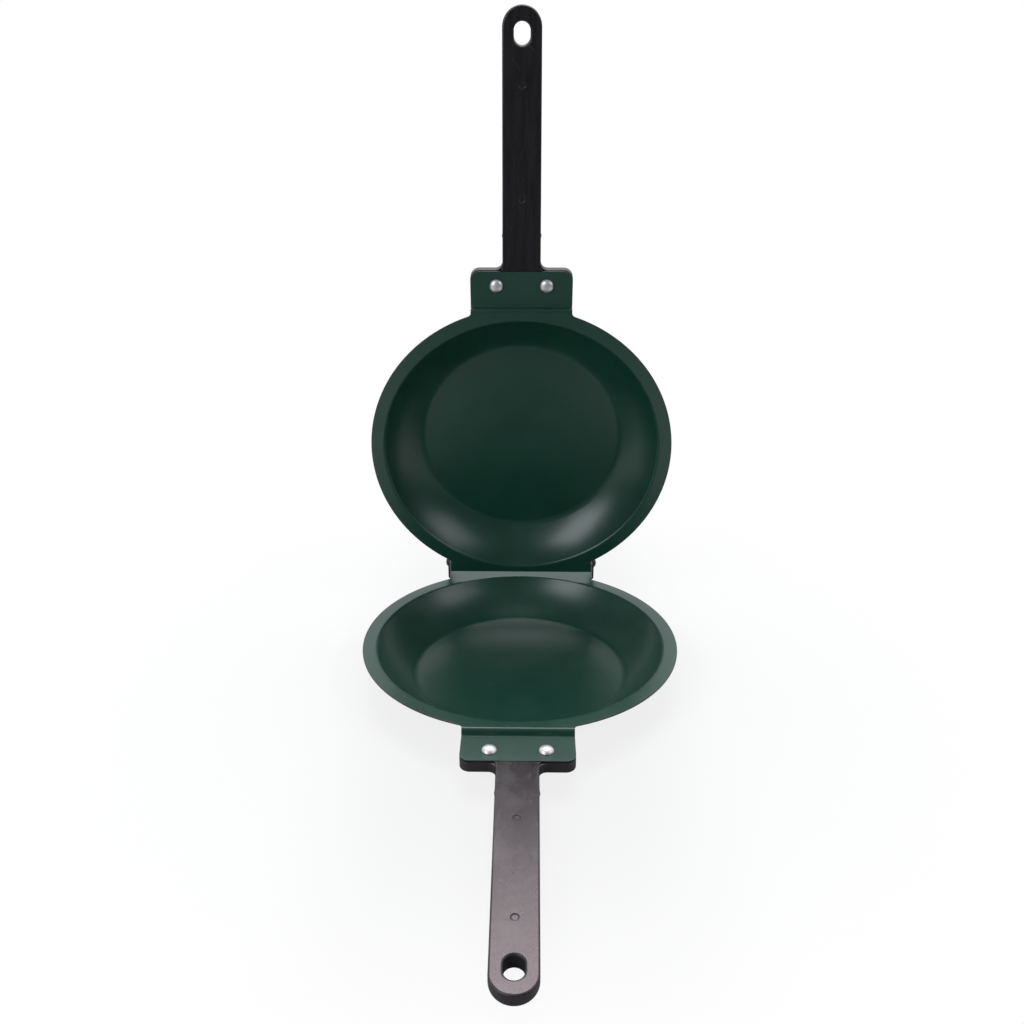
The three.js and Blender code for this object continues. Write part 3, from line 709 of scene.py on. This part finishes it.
def turned_piece(name, profile, body, node, where, material):
    """A piece turned about its own Z axis. Its profile of (radius, height) starts and ends on the
    axis, or else closes on itself."""
    on_axis = profile[0][0] == 0
    points, ids = [], []
    for r, z in profile:
        if r == 0:
            ids.append([len(points)] * turning_steps)
            points.append((0, 0, z))
            continue
        ids.append(list(range(len(points), len(points) + turning_steps)))
        points += [(r * math.cos(a), r * math.sin(a), z)
                   for a in (math.tau * i / turning_steps for i in range(turning_steps))]
    faces = []
    pairs = list(zip(ids, ids[1:])) + ([] if on_axis else [(ids[-1], ids[0])])
    for low, high in pairs:
        for i in range(turning_steps):
            j = (i + 1) % turning_steps
            loop = [low[i], low[j], high[j], high[i]]
            loop = [c for k, c in enumerate(loop) if c != loop[k - 1]]
            if len(loop) > 2:
                faces.append(loop)
    mesh = bpy.data.meshes.new(name)
    mesh.from_pydata([Vector(p) * MM for p in points], [], faces)
    mesh.polygons.foreach_set("use_smooth", [True] * len(mesh.polygons))
    mesh.materials.append(material)
    made = bpy.data.objects.new(name, mesh)
    bpy.context.collection.objects.link(made)
    made.matrix_world = where
    made.modifiers.new("flat faces", "WEIGHTED_NORMAL").keep_sharp = True
    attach(made, body)
    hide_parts(node)


def rounded(points, radius, steps=3):
    """A profile with a small radius at each inner corner."""
    out = [points[0]]
    for before, here, after in zip(points, points[1:], points[2:]):
        b, h, a = Vector(before), Vector(here), Vector(after)
        to_before, to_after = b - h, a - h
        reach = min(radius, to_before.length / corner_limit, to_after.length / corner_limit)
        start, end = h + to_before.normalized() * reach, h + to_after.normalized() * reach
        for i in range(steps + 1):
            t = i / steps
            out.append(tuple(start * (1 - t) ** 2 + h * 2 * t * (1 - t) + end * t ** 2))
    return out + [points[-1]]


def rivet_profile(shank, head, height, tail, tail_high, grip):
    """From the clinched tail's end to the top of the domed head, whose seat is at 0."""
    foot = -grip - tail_high
    dimple = shank * dimple_share
    stem = [(0, foot + tail_high * dimple_depth),
            (dimple * dimple_floor_share, foot + tail_high * dimple_side_depth), (dimple, foot),
            (tail - tail_high / 2, foot), (tail, foot + tail_high / 2), (tail, -grip + seat_reach),
            (shank, -grip + seat_reach), (shank, -seat_reach), (head, -seat_reach), (head, head_rim)]
    dome = [(head * math.cos(a), height * math.sin(a)) for a in spread(dome_start, math.pi / 2, dome_steps)]
    return rounded(stem, rivet_corner) + dome[:-1] + [(0, height)]


def washer_profile(outer, inner, thickness):
    half = thickness / 2 + seat_reach / 2
    corner = [(inner, 0), (inner, -half), (outer, -half), (outer, half), (inner, half), (inner, 0)]
    return rounded(corner, washer_corner)[:-1]


steel = polished_steel("polished_steel")
seat = -tab_step + seat_gap
washer_top = head_under - seat_gap
washer_middle = washer_top - washer_thickness / 2
tail_seat = washer_top - washer_thickness - seat_gap
for half, where, left in (("lower", lower_place, -1), ("upper", upper_place, 1)):
    for word, side in (("left", left), ("right", -left)):
        x = side * rivet_spacing / 2
        at = where @ Matrix.Translation(Vector((x, -rivet_reach, seat)) * MM)
        turned_piece(f"{half}_{word}_domed_rivet", rivet_profile(
            rivet_radius, head_radius, head_height, tail_radius, tail_height, seat - tail_seat),
            half, f"{half}_rivet_{word}", at, steel)
        at = where @ Matrix.Translation(Vector((x, -rivet_reach, washer_middle)) * MM)
        turned_piece(f"{half}_{word}_round_washer", washer_profile(
            washer_radius, rivet_radius + hole_clearance, washer_thickness),
            half, f"{half}_washer_{word}", at, steel)

# The pivot rivets and their washers
# Two short rivets fixed in the lower ears, heads outwards, are the hinge's pins. A thin washer
# keeps each clinched tail off the turning ear of the upper pan. Both are blackened steel.
pivot_radius, pivot_head_radius, pivot_head_height = 1.8, 3.0, 1.5
pivot_tail_radius, pivot_tail_height, pivot_washer_radius, pivot_washer_thickness = 2.7, 1.0, 3.6, 0.6
running_clearance = 0.08

black_steel = coating("blackened_steel", deep=(0.012, 0.012, 0.013, 1.0), light=(0.018, 0.018, 0.019, 1.0),
                      roughness=0.38, scratch_colour=(0.25, 0.25, 0.26, 1.0), scratches=0.5, dust=0.1,
                      peel=0.00003)
pivot_seat = ear_outer + seat_gap
washer_outer = ear_outer - 2 * sheet - 2 * seat_gap
pivot_washer_middle = washer_outer - pivot_washer_thickness / 2
pivot_tail_seat = washer_outer - pivot_washer_thickness - seat_gap
for word, side in (("left", -1), ("right", 1)):
    turn = Matrix.Rotation(side * math.pi / 2, 4, "Y")
    pin_place = Vector((side * pivot_seat, hinge_reach, hinge_height)) * MM
    at = lower_place @ Matrix.Translation(pin_place) @ turn
    turned_piece(f"hinge_{word}_domed_pin", rivet_profile(
        pivot_radius, pivot_head_radius, pivot_head_height, pivot_tail_radius, pivot_tail_height,
        pivot_seat - pivot_tail_seat),
        "lower", f"hinge_rivet_{word}", at, black_steel)
    washer_place = Vector((side * pivot_washer_middle, hinge_reach, hinge_height)) * MM
    at = lower_place @ Matrix.Translation(washer_place) @ turn
    turned_piece(f"hinge_{word}_thin_washer", washer_profile(
        pivot_washer_radius, pivot_radius + running_clearance, pivot_washer_thickness),
        "lower", f"hinge_washer_{word}", at, black_steel)

# The floor and the light
# A pale table whose middle strip is darker: painted shade. It stands in a room that is white behind and
# overhead and dark in front. A soft box stands on each side of the camera, and a wide one above and behind
# puts its sheen on the lower handle.
table_low, table_high = (-0.55, -0.32), (0.55, 0.70)
# The darker grey is painted shade along the table's middle, under and in front of the pan.
table_painted_shade, table_pale = (0.38, 0.38, 0.38, 1.0), (0.62, 0.62, 0.62, 1.0)
pale_from, pale_to = 0.05, 0.13
shadow_from, shadow_to, shadow_share = 0.14, 0.32, 0.83
white, cool_white = (1.0, 1.0, 1.0, 1.0), (0.93, 0.98, 1.0, 1.0)
room_dark, room_lit, room_overhead = 0.13, 1.13, 1.5
box_distance, box_aim, box_power = 1.3, (0, 0, 0.1), 4

floor_mesh = bpy.data.meshes.new("floor")
floor_mesh.from_pydata([(table_low[0], table_low[1], 0), (table_high[0], table_low[1], 0),
                        (table_high[0], table_high[1], 0), (table_low[0], table_high[1], 0)],
                       [], [(0, 1, 2, 3)])
floor = bpy.data.objects.new("floor", floor_mesh)
bpy.context.collection.objects.link(floor)
paper = bpy.data.materials.new("white_paper")
paper.use_nodes = True
tree = paper.node_tree
tree.nodes.clear()
seen = put(tree, "ShaderNodeLightPath").outputs["Is Camera Ray"]
coordinates = put(tree, "ShaderNodeTexCoord").outputs["Object"]
away = put(tree, "ShaderNodeVectorMath", {"operation": "LENGTH"}, _0=coordinates).outputs["Value"]
sideways = calculate(tree, "ABSOLUTE", part(tree, coordinates, "X"))
# Painted shade: the table is darker along its middle, under and in front of the pan. The pan's reflections
# and the faint floor beside it show this.
paper_tone_with_painted_shade = mixed_colour(tree, between(tree, sideways, pale_from, pale_to), table_painted_shade, table_pale)
matt = put(tree, "ShaderNodeBsdfDiffuse", Color=paper_tone_with_painted_shade).outputs[0]
glow = put(tree, "ShaderNodeEmission", Color=white, Strength=1.0).outputs[0]
faded = between(tree, away, shadow_from, shadow_to, shadow_share, 1.0)
shown = put(tree, "ShaderNodeMixShader", Fac=times(tree, seen, faded), _1=matt, _2=glow).outputs[0]
put(tree, "ShaderNodeOutputMaterial", Surface=shown)
floor_mesh.materials.append(paper)

world = bpy.data.worlds.new("white_room")
bpy.context.scene.world = world
world.use_nodes = True
tree = world.node_tree
tree.nodes.clear()
seen = put(tree, "ShaderNodeLightPath").outputs["Is Camera Ray"]
direction = put(tree, "ShaderNodeTexCoord").outputs["Generated"]
height = part(tree, direction, "Z")
behind = between(tree, part(tree, direction, "Y"), low=-0.15, high=0.35)
overhead = between(tree, height, low=0.965, high=1.0, new_high=room_overhead)
above = between(tree, height, low=-0.04, high=0.04)
lit = times(tree, calculate(tree, "MAXIMUM", behind, overhead), above)
room = plus(tree, times(tree, lit, room_lit), room_dark)
level = put(tree, "ShaderNodeMix", Factor=seen, A=room, B=1.0).outputs[0]
tint = mixed_colour(tree, seen, cool_white, white)
backdrop = put(tree, "ShaderNodeBackground", Color=tint, Strength=level).outputs[0]
put(tree, "ShaderNodeOutputWorld", Surface=backdrop)


def soft_box(name, turn, height, size, brightness, colour):
    """A soft box seen from the pan at a turn from the camera's side and a height angle."""
    lamp = bpy.data.lights.new(name, "AREA")
    lamp.shape, lamp.size, lamp.size_y = "RECTANGLE", *size
    lamp.energy = box_power * brightness * size[0] * size[1]
    lamp.color = colour
    box = bpy.data.objects.new(name, lamp)
    turn, height = math.radians(turn), math.radians(height)
    toward = Vector((math.sin(turn) * math.cos(height), -math.cos(turn) * math.cos(height),
                     math.sin(height)))
    box.location = toward * box_distance + Vector(box_aim)
    box.rotation_euler = toward.to_track_quat("Z", "Y").to_euler()
    bpy.context.collection.objects.link(box)


soft_box("left_soft_box", turn=-45, height=28, size=(0.60, 0.95), brightness=4.3, colour=(0.90, 0.96, 1.0))
soft_box("right_soft_box", turn=65, height=33, size=(0.70, 0.65), brightness=2.3, colour=(0.90, 0.96, 1.0))
soft_box("rear_soft_box", turn=180, height=64, size=(0.85, 0.58), brightness=5.9, colour=(1.0, 0.98, 0.99))

bpy.context.scene.view_settings.view_transform = "Standard"
